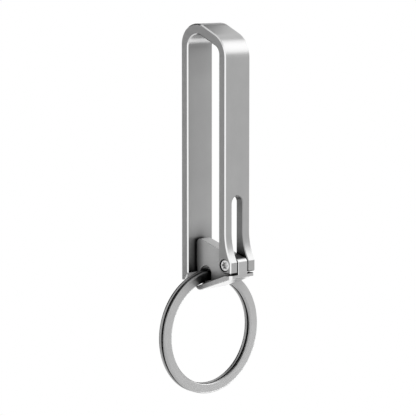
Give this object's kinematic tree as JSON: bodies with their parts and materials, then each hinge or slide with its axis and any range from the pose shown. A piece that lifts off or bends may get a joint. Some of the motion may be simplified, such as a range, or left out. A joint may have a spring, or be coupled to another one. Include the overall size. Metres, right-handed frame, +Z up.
{
  "type": "belt key clip",
  "caption": "Bent metal strip that hangs over a belt, with a sprung gate lever on a screwed pivot closing the loop and a split key ring in the lever's eye.",
  "frame": {"origin": "on the back leg's outer face, in the middle of its width, level with the gate's pivot axis", "axes": "+Z up, along the legs; +Y out of the back leg's outer face, so the front is towards -Y; +X along the pivot axis"},
  "size_m": [0.0314, 0.0168, 0.0928],
  "materials": {
    "strip_metal": "satin, blasted, with bright chamfered edges",
    "lever_metal": "satin, blasted",
    "screw_metal": "turned, semi-bright",
    "washer_plastic": "plain black",
    "spring_metal": "drawn wire",
    "ring_metal": "fine brushed"
  },
  "bodies": {
    "clip": {"clip_strip": "strip_metal", "pivot_screw": "screw_metal", "pivot_barrel": "screw_metal", "washer_left": "washer_plastic", "washer_right": "washer_plastic", "return_spring": "spring_metal"},
    "gate": {"gate_lever": "lever_metal"},
    "ring": {"split_ring": "ring_metal"}
  },
  "joints": [
    {"name": "gate_pivot", "type": "hinge", "parent": "clip", "child": "gate", "pos_m": [0, -0.01465, 0], "axis": [1, 0, 0], "range_deg": [0, 85], "stiffness_Nm_per_rad": 0.006, "springref_deg": -57.3, "deforming": ["return_spring"]},
    {"name": "ring_swing", "type": "hinge", "parent": "gate", "child": "ring", "pos_m": [0, -0.00555, -0.00365], "axis": [0.9965, -0.0837, 0], "range_deg": [-90, 60]}
  ]
}
